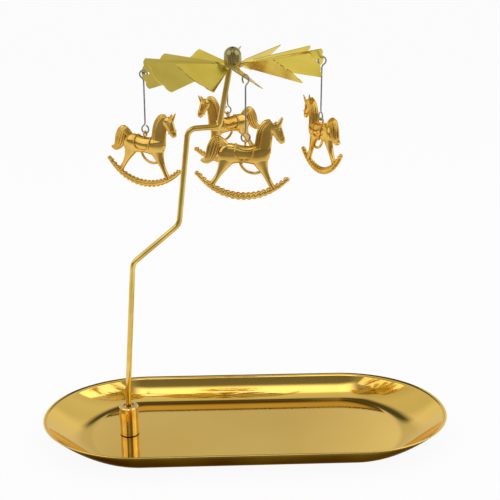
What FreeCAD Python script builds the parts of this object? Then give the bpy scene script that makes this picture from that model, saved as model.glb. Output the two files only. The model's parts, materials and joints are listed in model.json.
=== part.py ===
"""Candle carousel: a boat-shaped tray with a socketed post, a bladed rotor on a needle, and four hung horses.

Millimetres. Origin on the table under the middle of the tray, X along the tray, Y away from the front, Z up.
"""

import math
import os

import FreeCAD, Part
from FreeCAD import Matrix, Placement, Rotation, Vector

# Tray: one drawn sheet, straight along both sides and half-elliptical at the ends.
TRAY_LENGTH = 230.0
TRAY_WIDTH = 100.0
TRAY_HEIGHT = 12.5
TRAY_SHEET = 0.8
TRAY_STRAIGHT = 115.0
FLOOR_WIDTH = 73.0
FLOOR_LENGTH = 178.0
WALL_CURVE = 1.7

# Socket: turned pillar on the tray floor, held by one countersunk screw from below.
SOCKET_X = -67.0
SOCKET_DIAMETER = 11.0
SOCKET_HEIGHT = 17.5
SOCKET_CHAMFER = 0.6
MOUTH_DIAMETER = 6.4
MOUTH_DEPTH = 1.0
BORE_DEPTH = 8.5
SCREW_DIAMETER = 4.0
SCREW_HEAD_DIAMETER = 7.6
SCREW_LENGTH = 8.5
SCREW_RECESS = 0.15
SCREW_SLOT_WIDTH = 1.0
SCREW_SLOT_DEPTH = 0.9
SCREW_CLEARANCE = 0.05
DIMPLE_CLEARANCE = 0.07

# Post: one bent rod, corner by corner as offset and height, ending in a ground needle.
ROD_DIAMETER = 3.0
ROD_RUNNING_CLEARANCE = 0.05
ROD_FOOT_GAP = 0.05
LEAN_START = 27.0
LOWER_ELBOW = (-61.5, 103.0)
UPPER_ELBOW = (-36.0, 124.5)
CRANK_ELBOW = (-30.3, 175.9)
CRANK_CORNER = (-14.0, 177.0)
NEEDLE_TIP = (-6.9, 214.5)
LEAN_RADIUS = 150.0
ELBOW_RADIUS = 7.0
CRANK_RADIUS = 5.0
CORNER_RADIUS = 2.6
NEEDLE_LENGTH = 6.0
NEEDLE_FLAT = 0.3

# Rotor: stamped sheet of twelve pitched blades, sitting a little off level on the needle.
ROTOR_TILT_DEG = 3.5
BLADES = 12
FIRST_BLADE_DEG = 4.0
BLADE_SHEET = 0.4
BLADE_PITCH_DEG = 36.0
BLADE_DROOP_DEG = 2.0
BLADE_GAP = 0.7
BLADE_CREST = 46.7
BLADE_NOTCH = 45.0
BLADE_CORNER = 43.8
BLADE_ROOT = 11.5
HUB_RADIUS = 7.4
NEEDLE_ABOVE_HUB = 5.5
HOOK_HOLE_DIAMETER = 2.2
HOOK_HOLE_EDGE = 2.9

# Pivot cap and the ring that clamps it to the hub.
CAP_DIAMETER = 9.0
CAP_HEIGHT = 8.6
CAP_BORE = 6.9
SEAT_DEPTH = 2.2
SEAT_GAP = 0.17
SPIGOT_DIAMETER = 8.0
COLLAR_DIAMETER = 10.4
COLLAR_HEIGHT = 1.3
SPIGOT_LAND = 0.4

# Hooks: bent steel wire, an open eye at the top and a closed one at the bottom.
WIRE_DIAMETER = 0.8
HOOK_DROP = 30.9
UPPER_EYE_GAP = 0.45
UPPER_EYE_SEAT = 0.55
LOWER_EYE_RADIUS = 2.05
EYE_SWEEP_RADIUS = 2.4
UPPER_EYE_END_DEG = 232.0
LOWER_EYE_END_DEG = 434.0

# Horses: cast rocking horses hung by an eyelet in the saddle.
EYELET_RADIUS = 1.4
EYELET_WIRE = 0.95
EYELET_GAP = 0.08
EYELET_SHIFT = 0.14
ROCKER_RADIUS = 29.1
ROCKER_CENTRE = 1.6
ROCKER_HALF_ANGLE_DEG = 50.5
ROCKER_DEPTH = 3.0
ROCKER_TIP_DEPTH = 1.8
ROCKER_WIDTH = 3.0
ROCKER_KNOB = 2.3
EAR_SPREAD = 0.85
EAR_SPLAY_DEG = 10.0

# One hanger per entry: blade direction, turn of the hook's upper eye from it, and the horse's heading.
HANGERS = {
    "right": (4.0, -25.0, 110.0),
    "back": (94.0, -30.0, 205.0),
    "left": (184.0, -12.0, -30.0),
    "front": (274.0, 34.0, 0.0),
}

UP = Vector(0, 0, 1)


def direction(angle_deg):
    """Level unit vector at an angle from X."""
    angle = math.radians(angle_deg)
    return Vector(math.cos(angle), math.sin(angle), 0)


def revolved(points):
    """Solid of revolution about Z from (radius, height) corners."""
    corners = [Vector(r, 0, z) for r, z in points]
    face = Part.Face(Part.makePolygon(corners + corners[:1]))
    return face.revolve(Vector(0, 0, 0), UP, 360)


def rounded_path(points, radii):
    """Edges along a line of corners, each inner corner turned with its own radius."""
    edges = []
    start = points[0]
    for before, corner, after, radius in zip(points, points[1:], points[2:], radii):
        towards = (before - corner).normalize()
        away = (after - corner).normalize()
        half = towards.getAngle(away) / 2
        reach = radius / math.tan(half)
        first = corner + towards * reach
        last = corner + away * reach
        inward = (towards + away).normalize()
        middle = corner + inward * (radius / math.sin(half) - radius)
        edges.append(Part.makeLine(start, first))
        edges.append(Part.Arc(first, middle, last).toShape())
        start = last
    edges.append(Part.makeLine(start, points[-1]))
    return edges


def swept(edges, diameter):
    """Round bar along a run of tangent edges."""
    path = Part.Wire(edges)
    first = edges[0]
    at = first.valueAt(first.FirstParameter)
    along = first.tangentAt(first.FirstParameter)
    ring = Part.Wire(Part.makeCircle(diameter / 2, at, along))
    return path.makePipeShell([ring], True, True)


def oval(centre, along, half_height, half_width):
    """Closed elliptical wire square to a direction in the XZ plane, its width along Y."""
    along = Vector(along).normalize()
    side = Vector(0, 1, 0)
    rise = along.cross(side)
    ring = Part.makeCircle(1.0)
    place = Matrix(
        rise.x * half_height, side.x * half_width, along.x, centre.x,
        rise.y * half_height, side.y * half_width, along.y, centre.y,
        rise.z * half_height, side.z * half_width, along.z, centre.z,
        0, 0, 0, 1,
    )
    return Part.Wire(ring.transformGeometry(place))


def limb(stations):
    """Lofted solid along stations of (x, z, half height, half width), each square to the run."""
    points = [Vector(x, 0, z) for x, z, _, _ in stations]
    rings = []
    for index, (_, _, half_height, half_width) in enumerate(stations):
        before = points[max(index - 1, 0)]
        after = points[min(index + 1, len(points) - 1)]
        rings.append(oval(points[index], after - before, half_height, half_width))
    return Part.makeLoft(rings, True, False)


def trunk(stations):
    """Lofted solid along X through upright sections of (x, middle z, half height, half width)."""
    rings = [oval(Vector(x, 0, z), Vector(1, 0, 0), high, wide) for x, z, high, wide in stations]
    return Part.makeLoft(rings, True, False)


# Tray
def tray_outline(end_reach, half_width, z):
    straight = TRAY_STRAIGHT / 2
    right = Part.Arc(Vector(0, -1, 0), Vector(1, 0, 0), Vector(0, 1, 0)).toShape()
    left = Part.Arc(Vector(0, 1, 0), Vector(-1, 0, 0), Vector(0, -1, 0)).toShape()
    ends = []
    for arc, shift in ((right, straight), (left, -straight)):
        place = Matrix(end_reach, 0, 0, shift, 0, half_width, 0, 0, 0, 0, 1, z, 0, 0, 0, 1)
        ends.append(arc.transformGeometry(place))
    back = Part.makeLine(Vector(straight, half_width, z), Vector(-straight, half_width, z))
    front = Part.makeLine(Vector(-straight, -half_width, z), Vector(straight, -half_width, z))
    return Part.Wire([ends[0], back, ends[1], front])


def tray_block():
    rings = []
    for step in (0.0, 0.25, 0.5, 0.75, 1.0):
        floor_reach = (FLOOR_LENGTH - TRAY_STRAIGHT) / 2
        rim_reach = (TRAY_LENGTH - TRAY_STRAIGHT) / 2
        reach = floor_reach + (rim_reach - floor_reach) * step
        half_width = (FLOOR_WIDTH + (TRAY_WIDTH - FLOOR_WIDTH) * step) / 2
        rings.append(tray_outline(reach, half_width, TRAY_HEIGHT * step**WALL_CURVE))
    return Part.makeLoft(rings, True, False)


block = tray_block()
hollow = block.copy()
hollow.translate(Vector(0, 0, TRAY_SHEET))
tray = block.cut(hollow)

# The floor is pressed up in a cone round the screw, so that its head stays above the table.
shank_hole = SCREW_DIAMETER / 2 + 0.1
cone_foot = SCREW_HEAD_DIAMETER / 2 + DIMPLE_CLEARANCE + SCREW_RECESS
cone_rise = cone_foot - shank_hole
dimple_lift = TRAY_SHEET * 1.25
dimple_edge = cone_foot + dimple_lift - TRAY_SHEET
dimple_reach = dimple_edge + 0.4
dimple = revolved([
    (dimple_reach, 0),
    (cone_foot, 0),
    (shank_hole, cone_rise),
    (shank_hole, cone_rise + dimple_lift),
    (dimple_edge, TRAY_SHEET),
    (dimple_reach, TRAY_SHEET),
])
dimple.translate(Vector(SOCKET_X, 0, 0))
plug = Part.makeCylinder(dimple_reach, 2 * TRAY_SHEET, Vector(SOCKET_X, 0, -TRAY_SHEET / 2))
tray = tray.cut(plug).fuse(dimple).removeSplitter()

# Socket
socket_foot = TRAY_SHEET
socket_top = socket_foot + SOCKET_HEIGHT
bore_floor = socket_top - BORE_DEPTH
socket_radius = SOCKET_DIAMETER / 2
bore_radius = ROD_DIAMETER / 2 + ROD_RUNNING_CLEARANCE
thread_radius = SCREW_DIAMETER / 2
thread_top = bore_floor - 1.0
recess_edge = dimple_edge + DIMPLE_CLEARANCE
recess_top = cone_rise + dimple_lift + DIMPLE_CLEARANCE
recess_inner = recess_edge - (recess_top - socket_foot)
socket = revolved([
    (recess_edge, socket_foot),
    (socket_radius, socket_foot),
    (socket_radius, socket_top - SOCKET_CHAMFER),
    (socket_radius - SOCKET_CHAMFER, socket_top),
    (MOUTH_DIAMETER / 2, socket_top),
    (MOUTH_DIAMETER / 2 - 0.3, socket_top - MOUTH_DEPTH),
    (bore_radius, socket_top - MOUTH_DEPTH),
    (bore_radius, bore_floor),
    (0, bore_floor),
    (0, thread_top),
    (thread_radius, thread_top),
    (thread_radius, recess_top),
    (recess_inner, recess_top),
])
socket.translate(Vector(SOCKET_X, 0, 0))

# Screw
screw_radius = SCREW_DIAMETER / 2 - SCREW_CLEARANCE
head_radius = SCREW_HEAD_DIAMETER / 2
head_top = SCREW_RECESS + head_radius - screw_radius
screw = revolved([
    (0, SCREW_RECESS),
    (head_radius, SCREW_RECESS),
    (screw_radius, head_top),
    (screw_radius, SCREW_LENGTH - 0.4),
    (screw_radius - 0.4, SCREW_LENGTH),
    (0, SCREW_LENGTH),
])
for turn in (0, 90):
    slot = Part.makeBox(SCREW_HEAD_DIAMETER * 0.6, SCREW_SLOT_WIDTH, SCREW_SLOT_DEPTH)
    slot.translate(Vector(-SCREW_HEAD_DIAMETER * 0.3, -SCREW_SLOT_WIDTH / 2, SCREW_RECESS))
    slot.rotate(Vector(0, 0, 0), UP, turn)
    screw = screw.cut(slot)
screw.translate(Vector(SOCKET_X, 0, 0))

# Post
tip = Vector(NEEDLE_TIP[0], 0, NEEDLE_TIP[1])
corner = Vector(CRANK_CORNER[0], 0, CRANK_CORNER[1])
needle_along = (tip - corner).normalize()
needle_foot = tip - needle_along * NEEDLE_LENGTH
rod_corners = [
    Vector(SOCKET_X, 0, bore_floor + ROD_FOOT_GAP),
    Vector(SOCKET_X, 0, LEAN_START),
    Vector(LOWER_ELBOW[0], 0, LOWER_ELBOW[1]),
    Vector(UPPER_ELBOW[0], 0, UPPER_ELBOW[1]),
    Vector(CRANK_ELBOW[0], 0, CRANK_ELBOW[1]),
    corner,
    needle_foot,
]
rod_radii = [LEAN_RADIUS, ELBOW_RADIUS, ELBOW_RADIUS, CRANK_RADIUS, CORNER_RADIUS]
rod = swept(rounded_path(rod_corners, rod_radii), ROD_DIAMETER)
needle = Part.makeCone(ROD_DIAMETER / 2, NEEDLE_FLAT / 2, NEEDLE_LENGTH, needle_foot, needle_along)
rod = rod.fuse(needle).removeSplitter()

# Rotor, drawn level about the needle tip and then leaned over with it.
rotor_place = Placement(tip, Rotation(Vector(0, 1, 0), -ROTOR_TILT_DEG))
spin_axis = rotor_place.Rotation.multVec(UP)


def blade_place(angle_deg):
    """Stands a flat blade, drawn along X, at its own angle, droop and pitch in the level rotor."""
    turn = Placement(Vector(0, 0, -NEEDLE_ABOVE_HUB), Rotation(UP, angle_deg))
    droop = Placement(Vector(0, 0, 0), Rotation(Vector(0, 1, 0), BLADE_DROOP_DEG))
    pitch = Placement(Vector(0, 0, 0), Rotation(Vector(1, 0, 0), -BLADE_PITCH_DEG))
    return turn.multiply(droop).multiply(pitch)


def half_chord(radius):
    return radius * math.tan(math.pi / BLADES) - BLADE_GAP / 2


def flat_blade(holed):
    root = half_chord(BLADE_ROOT)
    end = half_chord(BLADE_CORNER)
    notch = end * 0.56
    shoulder = (BLADE_CORNER + BLADE_NOTCH) / 2 + 0.75
    points = [Vector(BLADE_ROOT, -root, 0), Vector(BLADE_CORNER, -end, 0), Vector(BLADE_NOTCH, -notch, 0)]
    mirrored = [Vector(p.x, -p.y, 0) for p in points]
    edges = [
        Part.makeLine(points[0], points[1]),
        Part.Arc(points[1], Vector(shoulder, -(end + notch) / 2, 0), points[2]).toShape(),
        Part.Arc(points[2], Vector(BLADE_CREST, 0, 0), mirrored[2]).toShape(),
        Part.Arc(mirrored[2], Vector(shoulder, (end + notch) / 2, 0), mirrored[1]).toShape(),
        Part.makeLine(mirrored[1], mirrored[0]),
        Part.makeLine(mirrored[0], points[0]),
    ]
    face = Part.Face(Part.Wire(edges))
    face.translate(Vector(0, 0, -BLADE_SHEET / 2))
    sheet = face.extrude(Vector(0, 0, BLADE_SHEET))
    if holed:
        at = Vector(BLADE_CREST - HOOK_HOLE_EDGE, 0, -BLADE_SHEET)
        sheet = sheet.cut(Part.makeCylinder(HOOK_HOLE_DIAMETER / 2, 2 * BLADE_SHEET, at))
    return sheet


def strip(radius, half_width, place):
    """Rectangular section of the sheet across a blade at a radius."""
    high = BLADE_SHEET / 2
    corners = [(-half_width, -high), (half_width, -high), (half_width, high), (-half_width, high)]
    points = [place.multVec(Vector(radius, y, z)) for y, z in corners]
    return Part.makePolygon(points + points[:1])


spigot_radius = SPIGOT_DIAMETER / 2
hub_low = -NEEDLE_ABOVE_HUB - BLADE_SHEET / 2
hub_high = -NEEDLE_ABOVE_HUB + BLADE_SHEET / 2
hub_corner = HUB_RADIUS / math.cos(math.pi / BLADES)
hub_corners = []
for index in range(BLADES + 1):
    angle = FIRST_BLADE_DEG + (index + 0.5) * 360.0 / BLADES
    hub_corners.append(direction(angle) * hub_corner + UP * hub_low)
rotor = Part.Face(Part.makePolygon(hub_corners)).extrude(UP * BLADE_SHEET)
rotor = rotor.cut(Part.makeCylinder(spigot_radius, 3 * BLADE_SHEET, Vector(0, 0, hub_low - BLADE_SHEET)))
hook_angles = {blade for blade, _, _ in HANGERS.values()}
blade_solids = []
for index in range(BLADES):
    angle = FIRST_BLADE_DEG + index * 360.0 / BLADES
    blade = flat_blade(angle in hook_angles)
    blade.Placement = blade_place(angle)
    level = Placement(Vector(0, 0, -NEEDLE_ABOVE_HUB), Rotation(UP, angle))
    foot = strip(HUB_RADIUS, half_chord(HUB_RADIUS), level)
    head = strip(BLADE_ROOT, half_chord(BLADE_ROOT), blade_place(angle))
    neck = Part.makeLoft([foot, head], True, True)
    blade_solids += [blade, neck]
rotor = rotor.multiFuse(blade_solids)
rotor.Placement = rotor_place.multiply(rotor.Placement)

# Pivot cap: domed, with a conical seat for the needle and a spigot through the hub.
cap_radius = CAP_DIAMETER / 2
cap_bore = CAP_BORE / 2
cap_foot = hub_high
cap_top = cap_foot + CAP_HEIGHT
spigot_foot = hub_low - COLLAR_HEIGHT - SPIGOT_LAND
seat = SEAT_GAP
dome_foot = cap_top - cap_radius
profile = [
    Part.makeLine(Vector(cap_bore, 0, spigot_foot), Vector(spigot_radius, 0, spigot_foot)),
    Part.makeLine(Vector(spigot_radius, 0, spigot_foot), Vector(spigot_radius, 0, cap_foot)),
    Part.makeLine(Vector(spigot_radius, 0, cap_foot), Vector(cap_radius, 0, cap_foot)),
    Part.makeLine(Vector(cap_radius, 0, cap_foot), Vector(cap_radius, 0, dome_foot)),
    Part.Arc(
        Vector(cap_radius, 0, dome_foot),
        Vector(cap_radius * math.cos(math.pi / 4), 0, dome_foot + cap_radius * math.sin(math.pi / 4)),
        Vector(0, 0, cap_top),
    ).toShape(),
    Part.makeLine(Vector(0, 0, cap_top), Vector(0, 0, seat)),
    Part.makeLine(Vector(0, 0, seat), Vector(cap_bore, 0, seat - SEAT_DEPTH)),
    Part.makeLine(Vector(cap_bore, 0, seat - SEAT_DEPTH), Vector(cap_bore, 0, spigot_foot)),
]
cap = Part.Face(Part.Wire(profile)).revolve(Vector(0, 0, 0), UP, 360)
cap.Placement = rotor_place

collar = revolved([
    (spigot_radius, hub_low),
    (spigot_radius, hub_low - COLLAR_HEIGHT),
    (COLLAR_DIAMETER / 2 - 0.3, hub_low - COLLAR_HEIGHT),
    (COLLAR_DIAMETER / 2, hub_low - COLLAR_HEIGHT + 0.3),
    (COLLAR_DIAMETER / 2, hub_low),
])
collar.Placement = rotor_place

# Hooks and horses
wire_radius = WIRE_DIAMETER / 2


def eye_edges(centre, across, up, radius, end_deg):
    """Open eye of wire, from its free end round the centre and in to the shank line below it."""
    sweep = EYE_SWEEP_RADIUS
    drop = math.sqrt(radius**2 + 2 * radius * sweep)
    join_deg = math.degrees(math.atan2(-drop, sweep))

    def at(a, b):
        return centre + across * a + up * b

    def on_ring(angle_deg):
        angle = math.radians(angle_deg)
        return at(radius * math.cos(angle), radius * math.sin(angle))

    ring = Part.Arc(on_ring(end_deg), on_ring((end_deg + join_deg) / 2), on_ring(join_deg)).toShape()
    middle = math.radians((180 + join_deg + 180) / 2)
    turn = Part.Arc(
        on_ring(join_deg),
        at(sweep + sweep * math.cos(middle), -drop + sweep * math.sin(middle)),
        at(0, -drop),
    ).toShape()
    return [ring, turn], at(0, -drop)


def blade_frame(blade_deg):
    """Hole middle, radial direction and normal of a hanging blade, as it stands on the needle."""
    place = rotor_place.multiply(blade_place(blade_deg))
    hole = place.multVec(Vector(BLADE_CREST - HOOK_HOLE_EDGE, 0, 0))
    radial = place.Rotation.multVec(Vector(1, 0, 0))
    normal = place.Rotation.multVec(UP)
    return hole, radial, normal


def make_hook(blade_deg, turn_deg, heading_deg):
    """Wire hook, its upper pivot, that pivot's axis, and the point it carries its horse on."""
    hole, radial, normal = blade_frame(blade_deg)
    across = direction(blade_deg + turn_deg)
    along = (across - UP * (normal.dot(across) / normal.dot(UP))).normalize()
    inner = HOOK_HOLE_DIAMETER / 2
    outer = HOOK_HOLE_EDGE / along.dot(radial)
    middle = hole + along * ((inner + outer) / 2)
    half = (outer - inner) / 2
    lift = along.cross(across.cross(UP)).normalize()
    if lift.z < 0:
        lift = lift * -1
    centre = middle - lift * UPPER_EYE_SEAT
    radius = math.hypot(half, UPPER_EYE_SEAT) + UPPER_EYE_GAP + wire_radius
    upper, shank_top = eye_edges(centre, across, UP, radius, UPPER_EYE_END_DEG)
    low = hole.z - HOOK_DROP + wire_radius
    foot_centre = Vector(centre.x, centre.y, low + LOWER_EYE_RADIUS)
    facing = direction(heading_deg)
    lower, shank_foot = eye_edges(foot_centre, facing * -1, UP * -1, LOWER_EYE_RADIUS, LOWER_EYE_END_DEG - 180)
    half_way = (shank_top + shank_foot) * 0.5
    top_half = swept(upper + [Part.makeLine(shank_top, half_way)], WIRE_DIAMETER)
    low_half = swept(lower + [Part.makeLine(shank_foot, half_way)], WIRE_DIAMETER)
    wire = top_half.fuse(low_half).removeSplitter()
    seat_height = low + wire_radius + EYELET_GAP + EYELET_WIRE / 2
    carry = Vector(centre.x, centre.y, seat_height)
    return wire, centre, across.cross(UP), carry


def rocker():
    half_angle = math.radians(ROCKER_HALF_ANGLE_DEG)
    rings = []
    steps = 10
    for index in range(steps + 1):
        angle = half_angle * (2 * index / steps - 1)
        share = abs(2 * index / steps - 1) ** 2
        depth = ROCKER_DEPTH + (ROCKER_TIP_DEPTH - ROCKER_DEPTH) * share
        reach = ROCKER_RADIUS - depth / 2
        centre = Vector(reach * math.sin(angle), 0, ROCKER_CENTRE - reach * math.cos(angle))
        along = Vector(math.cos(angle), 0, math.sin(angle))
        width = ROCKER_WIDTH * (0.72 + 0.28 * (1 - share))
        rings.append(oval(centre, along, depth / 2, width / 2))
    bow = Part.makeLoft(rings, True, False)
    solids = [bow]
    for side in (-1, 1):
        reach = ROCKER_RADIUS - ROCKER_TIP_DEPTH / 2
        end = half_angle * side
        at = Vector(reach * math.sin(end), 0, ROCKER_CENTRE - reach * math.cos(end))
        solids.append(Part.makeSphere(ROCKER_KNOB / 2, at))
    return solids


def make_horse():
    """Cast horse with the middle of its eyelet at the origin and its rocker level."""
    body = trunk([
        (-12.4, -6.8, 2.0, 1.2),
        (-11.2, -6.2, 3.9, 2.0),
        (-7.5, -5.8, 5.0, 2.7),
        (-1.0, -5.6, 4.2, 2.7),
        (5.0, -5.5, 4.8, 2.7),
        (9.6, -4.6, 5.2, 2.4),
        (12.2, -3.6, 3.0, 1.3),
    ])
    neck = limb([
        (8.4, -4.0, 4.4, 2.2),
        (8.7, 0.5, 4.0, 2.0),
        (8.9, 4.5, 3.9, 1.8),
        (9.8, 8.0, 3.5, 1.7),
        (12.2, 10.3, 2.2, 1.4),
    ])
    head = limb([
        (12.0, 9.4, 2.4, 1.4),
        (14.0, 7.4, 3.0, 1.7),
        (16.1, 4.2, 2.2, 1.5),
        (17.4, 2.0, 1.6, 1.3),
        (17.9, 1.0, 0.9, 0.8),
    ])
    ears = []
    for side in (-1, 1):
        ear = limb([(14.7, 8.0, 1.1, 0.6), (15.4, 10.0, 1.0, 0.6), (16.0, 11.6, 0.7, 0.45), (16.7, 13.1, 0.2, 0.2)])
        ear.translate(Vector(0, side * EAR_SPREAD, 0))
        ear.rotate(Vector(14.7, side * EAR_SPREAD, 8.0), Vector(1, 0, 0), -side * EAR_SPLAY_DEG)
        ears.append(ear)
    front_leg = limb([
        (7.6, -7.0, 4.4, 2.2),
        (9.1, -10.6, 2.9, 1.8),
        (10.5, -13.4, 1.9, 1.5),
        (12.4, -16.8, 1.3, 1.3),
        (15.3, -21.2, 1.4, 1.4),
    ])
    hind_leg = limb([
        (-7.8, -7.0, 4.6, 2.3),
        (-9.0, -10.6, 3.2, 1.9),
        (-10.2, -13.6, 2.0, 1.6),
        (-11.8, -17.0, 1.3, 1.3),
        (-14.4, -21.2, 1.4, 1.4),
    ])
    tail = limb([
        (-9.4, -2.4, 1.3, 1.1),
        (-11.3, 0.2, 1.6, 1.4),
        (-13.7, 0.4, 2.2, 1.6),
        (-14.8, -3.0, 2.7, 1.6),
        (-15.4, -6.4, 2.5, 1.5),
        (-16.6, -9.0, 1.7, 1.2),
        (-18.4, -10.2, 1.0, 0.8),
        (-20.3, -9.8, 0.35, 0.35),
    ])
    saddle = trunk([
        (-4.4, -5.6, 4.9, 2.9),
        (-2.6, -5.6, 4.4, 3.1),
        (0.5, -5.6, 4.1, 3.2),
        (2.6, -5.6, 4.3, 3.1),
        (4.2, -5.6, 4.9, 2.9),
    ])
    saddle = saddle.cut(Part.makeBox(20, 20, 10, Vector(-10, -10, -17.6)))
    strap = swept(
        [Part.Arc(Vector(-1.8, 0, -9.2), Vector(2.4, 0, -13.9), Vector(9.2, 0, -13.1)).toShape()], 1.4
    )
    eyelet = Part.makeTorus(EYELET_RADIUS, EYELET_WIRE / 2, Vector(EYELET_SHIFT, 0, 0), Vector(1, 0, 0))
    horse = body.multiFuse([neck, head, front_leg, hind_leg, tail, saddle, strap, eyelet] + ears + rocker())
    return horse.Solids[0]


horse = make_horse()
horse.translate(Vector(-EYELET_SHIFT, 0, -EYELET_RADIUS))
weight = horse.CenterOfMass
hang = math.degrees(math.atan2(weight.x, -weight.z))
horse.rotate(Vector(0, 0, 0), Vector(0, 1, 0), hang)

nodes = {
    "tray": tray,
    "rod_socket": socket,
    "socket_screw": screw,
    "support_rod": rod,
    "rotor_fan": rotor,
    "pivot_cap": cap,
    "hub_collar": collar,
}
pivots = {}
for name, hanger in HANGERS.items():
    wire, centre, axis, carry = make_hook(*hanger)
    figure = horse.copy()
    figure.Placement = Placement(carry, Rotation(UP, hanger[2])).multiply(horse.Placement)
    nodes["hook_" + name] = wire
    nodes["horse_" + name] = figure
    pivots[name] = (centre, axis, carry, direction(hanger[2] + 90))

os.makedirs("parts", exist_ok=True)
for name, shape in nodes.items():
    shape.Solids[0].exportStep("parts/" + name + ".step")
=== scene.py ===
import json
import math

import bmesh
import bpy
from mathutils import Matrix, Vector


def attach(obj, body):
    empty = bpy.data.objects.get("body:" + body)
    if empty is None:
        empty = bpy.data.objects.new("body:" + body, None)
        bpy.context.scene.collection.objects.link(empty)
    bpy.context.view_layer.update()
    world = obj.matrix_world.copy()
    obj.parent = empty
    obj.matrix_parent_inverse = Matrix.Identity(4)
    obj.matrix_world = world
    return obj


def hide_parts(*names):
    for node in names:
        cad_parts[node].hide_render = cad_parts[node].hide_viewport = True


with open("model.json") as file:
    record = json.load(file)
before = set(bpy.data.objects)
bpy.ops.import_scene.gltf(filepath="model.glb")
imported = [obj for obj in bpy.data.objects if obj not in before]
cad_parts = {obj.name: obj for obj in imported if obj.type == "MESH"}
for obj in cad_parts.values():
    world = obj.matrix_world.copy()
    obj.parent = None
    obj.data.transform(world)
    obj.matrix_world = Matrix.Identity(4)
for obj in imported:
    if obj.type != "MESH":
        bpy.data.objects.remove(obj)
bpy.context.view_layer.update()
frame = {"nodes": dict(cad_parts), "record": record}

scene = bpy.context.scene
MM = 0.001

# Tray: one drawn sheet of gold-toned metal, mirror polished, flat in the floor and rising in a soft flare all round.
# The rim is a plain cut edge. It lies on the table on its own floor and carries everything else.
tray_straight = 57.5 * MM
tray_floor_reach = 31.5 * MM
tray_rim_reach = 57.5 * MM
tray_floor_half = 36.5 * MM
tray_rim_half = 50.0 * MM
tray_height = 12.5 * MM
tray_sheet = 0.8 * MM
tray_curve = 1.7
socket_x = -67.0 * MM
tray_corners = 96
tray_steps = 12
floor_inset = (0.985, 0.97, 1.0)
dimple_foot = 4.02 * MM
dimple_hole = 2.1 * MM
dimple_rings = (1.3, 1.15, 1.0)


def node(tree, kind, **sockets):
    made = tree.nodes.new(kind)
    for name, value in sockets.items():
        made.inputs[name.replace("_", " ")].default_value = value
    return made


def polished_metal(
    name, deep, pale, roughness, patch, grain, dent, streak=(1.0, 1.0, 1.0), edge=(1.0, 1.0, 1.0)
):
    """Bright metal whose tone drifts over the surface, with fine rubbing marks and slight dents."""
    material = bpy.data.materials.new(name)
    material.use_nodes = True
    tree = material.node_tree
    shader = tree.nodes["Principled BSDF"]
    shader.inputs["Metallic"].default_value = 1.0
    shader.inputs["Specular Tint"].default_value = (*edge, 1.0)
    place = tree.nodes.new("ShaderNodeTexCoord")
    stretch = tree.nodes.new("ShaderNodeMapping")
    stretch.inputs["Scale"].default_value = streak
    tree.links.new(place.outputs["Object"], stretch.inputs["Vector"])
    drift = node(tree, "ShaderNodeTexNoise", Scale=patch, Detail=4.0)
    tree.links.new(place.outputs["Object"], drift.inputs["Vector"])
    tone = tree.nodes.new("ShaderNodeValToRGB")
    tone.color_ramp.elements[0].position = 0.35
    tone.color_ramp.elements[0].color = (*deep, 1.0)
    tone.color_ramp.elements[1].position = 0.68
    tone.color_ramp.elements[1].color = (*pale, 1.0)
    tree.links.new(drift.outputs["Fac"], tone.inputs["Fac"])
    tree.links.new(tone.outputs["Color"], shader.inputs["Base Color"])
    marks = node(tree, "ShaderNodeTexNoise", Scale=grain, Detail=3.0)
    tree.links.new(stretch.outputs["Vector"], marks.inputs["Vector"])
    gloss = tree.nodes.new("ShaderNodeMapRange")
    gloss.inputs["To Min"].default_value = roughness * 0.6
    gloss.inputs["To Max"].default_value = roughness * 1.5
    tree.links.new(marks.outputs["Fac"], gloss.inputs["Value"])
    tree.links.new(gloss.outputs["Result"], shader.inputs["Roughness"])
    bump = node(tree, "ShaderNodeBump", Strength=dent, Distance=0.0002)
    tree.links.new(marks.outputs["Fac"], bump.inputs["Height"])
    tree.links.new(bump.outputs["Normal"], shader.inputs["Normal"])
    return material


def mesh_piece(name, mesh, material, body, smooth=True):
    """Turns a bmesh into a piece of its own, shaded smooth, riding on a body."""
    data = bpy.data.meshes.new(name)
    mesh.to_mesh(data)
    mesh.free()
    data.materials.append(material)
    if smooth:
        data.shade_smooth()
    piece = bpy.data.objects.new(name, data)
    scene.collection.objects.link(piece)
    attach(piece, body)
    return piece


tray_gold = polished_metal("tray_gold", (0.84, 0.55, 0.11), (0.93, 0.63, 0.15), 0.07, 9.0, 900.0, 0.02)
# Painted shade: the underside gets a dark copy of the gold, standing in for the shadowed table under the tray that
# its mirror shows.
tray_shaded_underside = polished_metal(
    "tray_shaded_underside", (0.10, 0.065, 0.016), (0.17, 0.11, 0.03), 0.3, 20.0, 1200.0, 0.1, edge=(0.35, 0.28, 0.14)
)

tray_mesh = bmesh.new()
half_corner = Matrix.Rotation(math.pi / tray_corners, 4, "Z")
bmesh.ops.create_circle(tray_mesh, segments=tray_corners, radius=1.0, matrix=half_corner)
unit = {vert: vert.co.copy() for vert in tray_mesh.verts}
floor_edges = tray_mesh.edges[:]
ring_edges = floor_edges


def lay_tray_ring(places, share):
    reach = tray_floor_reach + (tray_rim_reach - tray_floor_reach) * share
    half = tray_floor_half + (tray_rim_half - tray_floor_half) * share
    for vert, at in places.items():
        shift = math.copysign(tray_straight, at.x)
        vert.co = (shift + at.x * reach, at.y * half, tray_height * share**tray_curve)


lay_tray_ring(unit, 0.0)
for step in range(1, tray_steps + 1):
    grown = bmesh.ops.extrude_edge_only(tray_mesh, edges=ring_edges)["geom"]
    fresh = [item for item in grown if isinstance(item, bmesh.types.BMVert)]
    ring_edges = [item for item in grown if isinstance(item, bmesh.types.BMEdge)]
    below = list(unit.items())
    unit = {}
    for vert in fresh:
        nearest = min(below, key=lambda pair: (pair[0].co - vert.co).length_squared)
        unit[vert] = nearest[1]
    lay_tray_ring(unit, step / tray_steps)
    ring_edges = [edge for edge in ring_edges if all(vert in unit for vert in edge.verts)]
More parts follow.
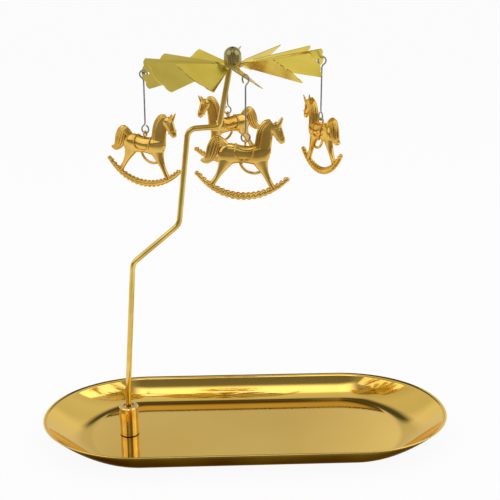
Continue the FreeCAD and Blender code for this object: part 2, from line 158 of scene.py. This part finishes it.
# The floor is level up to its edge, and runs in to the pressed cone that takes the screw's head.
grown = bmesh.ops.extrude_edge_only(tray_mesh, edges=floor_edges)["geom"]
floor_verts = [item for item in grown if isinstance(item, bmesh.types.BMVert)]
floor_edges = [edge for edge in tray_mesh.edges if all(vert in set(floor_verts) for vert in edge.verts)]
bmesh.ops.scale(tray_mesh, vec=floor_inset, verts=floor_verts)
dimple_verts = bmesh.ops.create_circle(
    tray_mesh, segments=tray_corners, radius=dimple_foot * dimple_rings[0],
    matrix=Matrix.Translation((socket_x, 0.0, 0.0)),
)["verts"]
dimple_edges = [edge for edge in tray_mesh.edges if all(vert in set(dimple_verts) for vert in edge.verts)]
bmesh.ops.bridge_loops(tray_mesh, edges=floor_edges + dimple_edges)
level_rings = [(inner / outer, 0.0) for outer, inner in zip(dimple_rings, dimple_rings[1:])]
for narrowed, lift in (*level_rings, (dimple_hole / dimple_foot, dimple_foot - dimple_hole)):
    grown = bmesh.ops.extrude_edge_only(tray_mesh, edges=dimple_edges)["geom"]
    cone_ring = [item for item in grown if isinstance(item, bmesh.types.BMVert)]
    dimple_edges = [edge for edge in tray_mesh.edges if all(vert in set(cone_ring) for vert in edge.verts)]
    bmesh.ops.scale(
        tray_mesh, vec=(narrowed, narrowed, 1.0), verts=cone_ring,
        space=Matrix.Translation((-socket_x, 0.0, 0.0)),
    )
    bmesh.ops.translate(tray_mesh, vec=(0.0, 0.0, lift), verts=cone_ring)
bmesh.ops.recalc_face_normals(tray_mesh, faces=tray_mesh.faces[:])
if sum(face.normal.z * face.calc_area() for face in tray_mesh.faces) < 0:
    bmesh.ops.reverse_faces(tray_mesh, faces=tray_mesh.faces[:])
tray = mesh_piece("tray_dish", tray_mesh, tray_gold, "base")
wall = tray.modifiers.new("sheet", "SOLIDIFY")
wall.thickness = tray_sheet
wall.offset = 1.0
wall.use_even_offset = False
# The dark copy of the gold, painted shade, goes on the sheet's underside.
tray.data.materials.append(tray_shaded_underside)
wall.material_offset = 1
wall.material_offset_rim = 0
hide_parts("tray")

# Socket: turned and polished brass pillar, screwed to the tray floor from below, with a bevelled mouth for the rod.
# The screw is a plain countersunk one in a pressed dimple of the tray.
socket_gold = polished_metal("socket_gold", (0.66, 0.46, 0.16), (0.82, 0.62, 0.28), 0.09, 120.0, 2500.0, 0.06)
socket_foot_shade_band = 0.6 * MM
# Painted shade: the colour turns near black in a thin band round the foot, just above the floor, where the socket
# meets the tray.
socket_tree = socket_gold.node_tree
socket_shader = socket_tree.nodes["Principled BSDF"]
socket_tone = socket_shader.inputs["Base Color"].links[0].from_socket
socket_place = socket_tree.nodes.new("ShaderNodeTexCoord")
socket_axes = socket_tree.nodes.new("ShaderNodeSeparateXYZ")
above_foot = socket_tree.nodes.new("ShaderNodeMapRange")
above_foot.inputs["From Min"].default_value = tray_sheet + 0.6 * socket_foot_shade_band
above_foot.inputs["From Max"].default_value = tray_sheet + socket_foot_shade_band
foot_shade_mix = socket_tree.nodes.new("ShaderNodeMix")
foot_shade_mix.data_type = "RGBA"
socket_tree.links.new(socket_place.outputs["Object"], socket_axes.inputs["Vector"])
socket_tree.links.new(socket_axes.outputs["Z"], above_foot.inputs["Value"])
socket_tree.links.new(above_foot.outputs["Result"], foot_shade_mix.inputs["Factor"])
foot_shade_colour, above_shade_tone = (item for item in foot_shade_mix.inputs if item.type == "RGBA")
# Near-black colour of the painted shade round the foot.
foot_shade_colour.default_value = (0.03, 0.018, 0.006, 1.0)
socket_tree.links.new(socket_tone, above_shade_tone)
foot_shade_out = next(item for item in foot_shade_mix.outputs if item.type == "RGBA")
socket_tree.links.new(foot_shade_out, socket_shader.inputs["Base Color"])
screw_steel = polished_metal("screw_steel", (0.36, 0.36, 0.35), (0.50, 0.50, 0.48), 0.3, 200.0, 3000.0, 0.15)


def finish_solid(name, material):
    """Gives one of the part's own solids its finish."""
    slots = frame["nodes"][name].data.materials
    slots.clear()
    slots.append(material)


finish_solid("rod_socket", socket_gold)
finish_solid("socket_screw", screw_steel)

# Rod: drawn brass rod, bent cold in four places and ground to a needle at the top.
# It stands loose in the socket, so it can be turned or lifted out, and its drawing marks run along it.
rod_brass = polished_metal(
    "rod_brass", (0.62, 0.42, 0.09), (0.84, 0.62, 0.18), 0.11, 60.0, 2200.0, 0.08, streak=(1.0, 1.0, 0.08)
)
finish_solid("support_rod", rod_brass)

# Rotor: one stamped brass sheet with pitched blades, which warm air turns.
# A turned cap with the needle's seat goes through its hub and is clamped by the ring below.
rotor_brass = polished_metal(
    "rotor_brass", (0.62, 0.48, 0.08), (0.76, 0.60, 0.13), 0.17, 40.0, 900.0, 0.015,
    streak=(1.0, 1.0, 0.15), edge=(0.95, 0.85, 0.5),
)
cap_brass = polished_metal("cap_brass", (0.30, 0.25, 0.09), (0.52, 0.44, 0.20), 0.16, 150.0, 2600.0, 0.1)
finish_solid("rotor_fan", rotor_brass)
finish_solid("pivot_cap", cap_brass)
finish_solid("hub_collar", cap_brass)

# Hooks: bright steel wire with an open eye at the top, hung in a blade's hole.
# The lower eye is closed round the eyelet of a horse.
hook_steel = polished_metal("hook_steel", (0.30, 0.30, 0.29), (0.48, 0.48, 0.46), 0.25, 300.0, 4000.0, 0.1)
hangers = ("left", "front", "right", "back")
for side in hangers:
    finish_solid("hook_" + side, hook_steel)

# Horses: four copies of one small casting of a rocking horse, gold plated and polished.
# Each has an eyelet in its saddle, and hangs with its weight under the hook.
horse_gold = polished_metal(
    "horse_gold", (0.64, 0.38, 0.07), (0.86, 0.56, 0.14), 0.045, 90.0, 2200.0, 0.05, edge=(1.0, 0.85, 0.5)
)
for side in hangers:
    finish_solid("horse_" + side, horse_gold)

# Cast relief of the horses: roped rocker, combed mane and tail, saddle with a raised rim, bridle and eyes.
# It is one casting with the body, drawn once in millimetres with the eyelet's middle at the origin.
rocker_centre = 1.6
rocker_reach = 27.6
rocker_end = 48.0
rope_lays = 19
rope_lobe = (2.65, 1.95, 1.2)
rope_slant = math.radians(42)
rope_thinning = 0.38
relief_hang = math.radians(4.73)
relief_eyelet = (0.14, 1.4)
tail_run = (
    (-9.4, -2.4, 1.3, 1.1), (-11.3, 0.2, 1.6, 1.4), (-13.7, 0.4, 2.2, 1.6), (-14.8, -3.0, 2.7, 1.6),
    (-15.4, -6.4, 2.5, 1.5), (-16.6, -9.0, 1.7, 1.2), (-18.4, -10.2, 1.0, 0.8), (-20.3, -9.8, 0.35, 0.35),
)
neck_run = (
    (8.4, -2.6, 4.3, 2.2), (8.7, 0.5, 4.0, 2.0), (8.9, 4.5, 3.9, 1.8), (9.8, 8.0, 3.5, 1.7), (12.2, 10.3, 2.2, 1.4),
)


def bead(mesh, at, size, turn):
    """Small oval bead, long axis turned in the side plane."""
    place = Matrix.Translation(Vector(at)) @ Matrix.Rotation(-turn, 4, "Y") @ Matrix.Diagonal((*size, 1.0))
    bmesh.ops.create_icosphere(mesh, subdivisions=3, radius=1.0, matrix=place)


def combed(run, share, side, thick, tip):
    """One lock of hair along a limb, at a share of the limb's height, lying on its flank."""
    lock = []
    for index, (x, z, high, wide) in enumerate(run):
        before = run[max(index - 1, 0)]
        after = run[min(index + 1, len(run) - 1)]
        along = Vector((after[0] - before[0], after[1] - before[1])).normalized()
        out = math.sqrt(1 - share**2)
        size = tip if index in (0, len(run) - 1) else thick
        lock.append((x - along.y * high * share, side * wide * out, z + along.x * high * share, size))
    return lock


def strands(lines):
    """Mesh of tapering round strands, each a list of (x, y, z, radius), bent smoothly."""
    curve = bpy.data.curves.new("strands", "CURVE")
    curve.dimensions = "3D"
    curve.bevel_depth = 1.0
    curve.bevel_resolution = 3
    curve.use_fill_caps = True
    curve.resolution_u = 8
    for line in lines:
        spline = curve.splines.new("NURBS")
        spline.points.add(len(line) - 1)
        for point, (x, y, z, radius) in zip(spline.points, line):
            point.co = (x, y, z, 1.0)
            point.radius = radius
        spline.order_u = 3
        spline.use_endpoint_u = True
    holder = bpy.data.objects.new("strands", curve)
    mesh = bpy.data.meshes.new_from_object(holder)
    bpy.data.objects.remove(holder)
    bpy.data.curves.remove(curve)
    return mesh


relief = bmesh.new()
for lay in range(rope_lays):
    share = 2 * lay / (rope_lays - 1) - 1
    angle = math.radians(rocker_end) * share
    at = (rocker_reach * math.sin(angle), 0.0, rocker_centre - rocker_reach * math.cos(angle))
    thin = 1.0 - rope_thinning * share**2
    bead(relief, at, [half * thin for half in rope_lobe], angle + rope_slant)

# Each line is a run of (forward, out to the side, up, radius) on one flank.
forelock = ((13.6, 0.4, 10.4, 0.4), (15.4, 0.4, 9.6, 0.45), (16.4, 0.5, 7.6, 0.2))
saddle_rim = (
    (-4.3, 1.6, -1.2, 0.45), (-4.9, 2.9, -3.6, 0.45), (-4.4, 3.15, -6.4, 0.4), (-2.4, 3.1, -8.2, 0.4),
    (1.4, 3.1, -8.2, 0.4), (3.6, 3.15, -6.6, 0.4), (4.4, 2.9, -3.8, 0.45), (4.2, 1.6, -1.3, 0.45),
)
girth = ((-0.6, 3.1, -8.0, 0.4), (-0.7, 2.5, -9.0, 0.4), (-0.7, 1.4, -9.9, 0.4))
cheek_strap = ((14.4, 1.35, 9.6, 0.26), (14.9, 1.75, 6.8, 0.26), (16.3, 1.6, 3.6, 0.26))
nose_band = ((14.6, 1.2, 2.4, 0.24), (15.8, 1.7, 3.2, 0.26), (18.0, 1.1, 4.6, 0.24))
brow_band = ((12.6, 1.5, 7.6, 0.24), (14.8, 1.75, 8.4, 0.26), (16.0, 0.7, 8.8, 0.24))
cantle = ((-4.3, -1.6, -1.2, 0.45), (-4.3, 0.0, -0.65, 0.45), (-4.3, 1.6, -1.2, 0.45))
pommel = ((4.2, -1.6, -1.3, 0.45), (4.2, 0.0, -0.75, 0.45), (4.2, 1.6, -1.3, 0.45))
locks = []
for side in (-1, 1):
    for share in (-0.9, -0.5, 0.0, 0.5, 0.9):
        locks.append(combed(tail_run, share, side, 0.64, 0.3))
    for share in (0.42, 0.66, 0.86):
        locks.append(combed(neck_run, share, side, 0.5, 0.3))
    for line in (forelock, saddle_rim, girth, cheek_strap, nose_band, brow_band):
        locks.append([(x, side * y, z, radius) for x, y, z, radius in line])
locks += [cantle, pommel]
relief.from_mesh(strands(locks))
eye_place = (15.5, 1.45, 7.5)
nostril_place = (17.6, 0.95, 2.2)
for side in (-1, 1):
    bead(relief, (eye_place[0], side * eye_place[1], eye_place[2]), (0.55, 0.35, 0.45), 0.0)
    bead(relief, (nostril_place[0], side * nostril_place[1], nostril_place[2]), (0.35, 0.3, 0.3), 0.0)

hinges = {joint["name"]: joint for joint in frame["record"]["behaviour"]["joints"]}
for side in hangers:
    hinge = hinges["horse_" + side + "_rock"]
    heading = math.atan2(hinge["axis"][1], hinge["axis"][0]) - math.pi / 2
    stand = (
        Matrix.Translation(Vector(hinge["pos_m"]))
        @ Matrix.Rotation(heading, 4, "Z")
        @ Matrix.Rotation(relief_hang, 4, "Y")
        @ Matrix.Scale(MM, 4)
        @ Matrix.Translation(Vector((-relief_eyelet[0], 0.0, -relief_eyelet[1])))
    )
    copy = relief.copy()
    bmesh.ops.transform(copy, matrix=stand, verts=copy.verts[:])
    mesh_piece("relief_" + side, copy, horse_gold, "horse_" + side)
relief.free()

# Stage: a white table that keeps the shadow, a studio room for the metal to mirror, two soft lamps and the camera.
# The camera stands a little above the rotor, half a metre in front of the tray.
table_half = 25.0
table_gap = 0.2 * MM
table_mesh = bmesh.new()
bmesh.ops.create_grid(
    table_mesh, x_segments=1, y_segments=1, size=table_half, matrix=Matrix.Translation((0.0, 0.0, -table_gap))
)
table_data = bpy.data.meshes.new("table")
table_mesh.to_mesh(table_data)
table_mesh.free()
table = bpy.data.objects.new("table", table_data)
scene.collection.objects.link(table)
table_white = bpy.data.materials.new("table_white")
table_white.use_nodes = True
table_tree = table_white.node_tree
table_shader = table_tree.nodes["Principled BSDF"]
table_shader.inputs["Roughness"].default_value = 0.7
table_shader.inputs["Base Color"].default_value = (0.95, 0.95, 0.95, 1.0)
table_glow = node(table_tree, "ShaderNodeEmission", Strength=1.0)
seen = table_tree.nodes.new("ShaderNodeLightPath")
gloss_seen = table_tree.nodes.new("ShaderNodeMath")
gloss_seen.operation = "MAXIMUM"
any_seen = table_tree.nodes.new("ShaderNodeMath")
any_seen.operation = "MAXIMUM"
glow_share = table_tree.nodes.new("ShaderNodeMath")
glow_share.operation = "MULTIPLY"
glow_share.inputs[1].default_value = 0.93
table_mix = table_tree.nodes.new("ShaderNodeMixShader")
# The table is white to the eye. What the metal mirrors of it darkens well in front of the object.
table_place = table_tree.nodes.new("ShaderNodeTexCoord")
table_axes = table_tree.nodes.new("ShaderNodeSeparateXYZ")
fall = table_tree.nodes.new("ShaderNodeMapRange")
fall.inputs["From Min"].default_value = -0.5
fall.inputs["From Max"].default_value = -0.12
fall.inputs["To Min"].default_value = 0.3
fall.inputs["To Max"].default_value = 1.0
table_tree.links.new(table_place.outputs["Object"], table_axes.inputs["Vector"])
table_tree.links.new(table_axes.outputs["Y"], fall.inputs["Value"])
to_the_eye = table_tree.nodes.new("ShaderNodeMath")
to_the_eye.operation = "MAXIMUM"
table_tree.links.new(fall.outputs["Result"], to_the_eye.inputs[0])
table_tree.links.new(seen.outputs["Is Camera Ray"], to_the_eye.inputs[1])
table_tree.links.new(to_the_eye.outputs[0], table_glow.inputs["Color"])
table_tree.links.new(seen.outputs["Is Camera Ray"], gloss_seen.inputs[0])
table_tree.links.new(seen.outputs["Is Glossy Ray"], gloss_seen.inputs[1])
table_tree.links.new(gloss_seen.outputs[0], any_seen.inputs[0])
table_tree.links.new(seen.outputs["Is Transmission Ray"], any_seen.inputs[1])
table_tree.links.new(any_seen.outputs[0], glow_share.inputs[0])
table_tree.links.new(glow_share.outputs[0], table_mix.inputs["Fac"])
table_tree.links.new(table_shader.outputs["BSDF"], table_mix.inputs[1])
table_tree.links.new(table_glow.outputs["Emission"], table_mix.inputs[2])
# From below the table is clear, so that the underside of the tray can be seen.
table_side = table_tree.nodes.new("ShaderNodeNewGeometry")
table_clear = table_tree.nodes.new("ShaderNodeBsdfTransparent")
side_mix = table_tree.nodes.new("ShaderNodeMixShader")
table_tree.links.new(table_side.outputs["Backfacing"], side_mix.inputs["Fac"])
table_tree.links.new(table_mix.outputs["Shader"], side_mix.inputs[1])
table_tree.links.new(table_clear.outputs["BSDF"], side_mix.inputs[2])
table_tree.links.new(side_mix.outputs["Shader"], table_tree.nodes["Material Output"].inputs["Surface"])
table_data.materials.append(table_white)

world = bpy.data.worlds.new("studio")
scene.world = world
world.use_nodes = True
sky = world.node_tree
# The room is bright behind the object and overhead, and dim behind the camera. Straight over the table it has lamp
# strips with dark gaps between them, which fade out to the left and right.
look = sky.nodes.new("ShaderNodeTexCoord")
axes = sky.nodes.new("ShaderNodeSeparateXYZ")
sweep = sky.nodes.new("ShaderNodeMath")
sweep.operation = "ARCTAN2"
half_turn = sky.nodes.new("ShaderNodeMath")
half_turn.operation = "DIVIDE"
half_turn.inputs[1].default_value = math.pi
aside = sky.nodes.new("ShaderNodeMath")
aside.operation = "ABSOLUTE"
fade = sky.nodes.new("ShaderNodeMapRange")
fade.inputs["From Min"].default_value = 0.09
fade.inputs["From Max"].default_value = 0.22
blend = sky.nodes.new("ShaderNodeMix")
blend.data_type = "RGBA"
sky.links.new(look.outputs["Generated"], axes.inputs["Vector"])
sky.links.new(axes.outputs["Z"], sweep.inputs[0])
sky.links.new(axes.outputs["Y"], sweep.inputs[1])
sky.links.new(sweep.outputs[0], half_turn.inputs[0])
sky.links.new(axes.outputs["X"], aside.inputs[0])
sky.links.new(aside.outputs[0], fade.inputs["Value"])
sky.links.new(fade.outputs["Result"], blend.inputs["Factor"])
strips = (
    (0, 0.75), (24, 0.6), (31, 0.6), (35, 0.08), (66, 0.08), (76, 0.65), (104, 0.75), (109, 1.7), (123, 1.7),
    (128, 0.2), (138, 0.16), (140, 1.0), (144, 1.3), (150, 0.5), (158, 0.25), (180, 0.28),
)
plain = ((0, 0.75), (24, 0.8), (32, 0.84), (42, 0.66), (64, 0.7), (100, 0.5), (125, 0.34), (145, 0.2), (180, 0.3))
for socket, levels in (("A", strips), ("B", plain)):
    bands = sky.nodes.new("ShaderNodeValToRGB")
    bands.color_ramp.elements.remove(bands.color_ramp.elements[-1])
    for index, (degrees, level) in enumerate(levels):
        stop = bands.color_ramp.elements[0] if index == 0 else bands.color_ramp.elements.new(degrees / 180)
        stop.color = (level, level, level, 1.0)
    sky.links.new(half_turn.outputs[0], bands.inputs["Fac"])
    into = next(item for item in blend.inputs if item.name == socket and item.type == "RGBA")
    sky.links.new(bands.outputs["Color"], into)
room = next(item for item in blend.outputs if item.type == "RGBA")
sky.nodes["Background"].inputs["Strength"].default_value = 1.0
sky.links.new(room, sky.nodes["Background"].inputs["Color"])
white_wall = node(sky, "ShaderNodeBackground", Color=(1.0, 1.0, 1.0, 1.0), Strength=1.0)
eye = sky.nodes.new("ShaderNodeLightPath")
wall_mix = sky.nodes.new("ShaderNodeMixShader")
sky.links.new(eye.outputs["Is Camera Ray"], wall_mix.inputs["Fac"])
sky.links.new(sky.nodes["Background"].outputs["Background"], wall_mix.inputs[1])
sky.links.new(white_wall.outputs["Background"], wall_mix.inputs[2])
sky.links.new(wall_mix.outputs["Shader"], sky.nodes["World Output"].inputs["Surface"])


def soft_lamp(name, at, aim, width, height, watts):
    lamp = bpy.data.lights.new(name, "AREA")
    lamp.shape = "RECTANGLE"
    lamp.size = width
    lamp.size_y = height
    lamp.energy = watts
    thing = bpy.data.objects.new(name, lamp)
    thing.location = at
    thing.rotation_euler = (Vector(aim) - Vector(at)).to_track_quat("-Z", "Y").to_euler()
    scene.collection.objects.link(thing)


soft_lamp("left_softbox", (-0.9, -0.5, 0.9), (0, 0, 0.1), 1.2, 1.2, 4.0)
soft_lamp("right_softbox", (0.9, -0.4, 0.8), (0, 0, 0.1), 1.1, 1.1, 4.0)

camera_place = Vector((-0.0202, -0.4707, 0.2544))
camera_aim = Vector((0.00206, 0.0, 0.1096))
camera_data = bpy.data.cameras.new("camera")
camera_data.sensor_width = 36.0
camera_data.lens = 65.4
camera = bpy.data.objects.new("camera", camera_data)
camera.location = camera_place
camera.rotation_euler = (camera_aim - camera_place).to_track_quat("-Z", "Y").to_euler()
scene.collection.objects.link(camera)
scene.camera = camera

scene.view_settings.view_transform = "Standard"
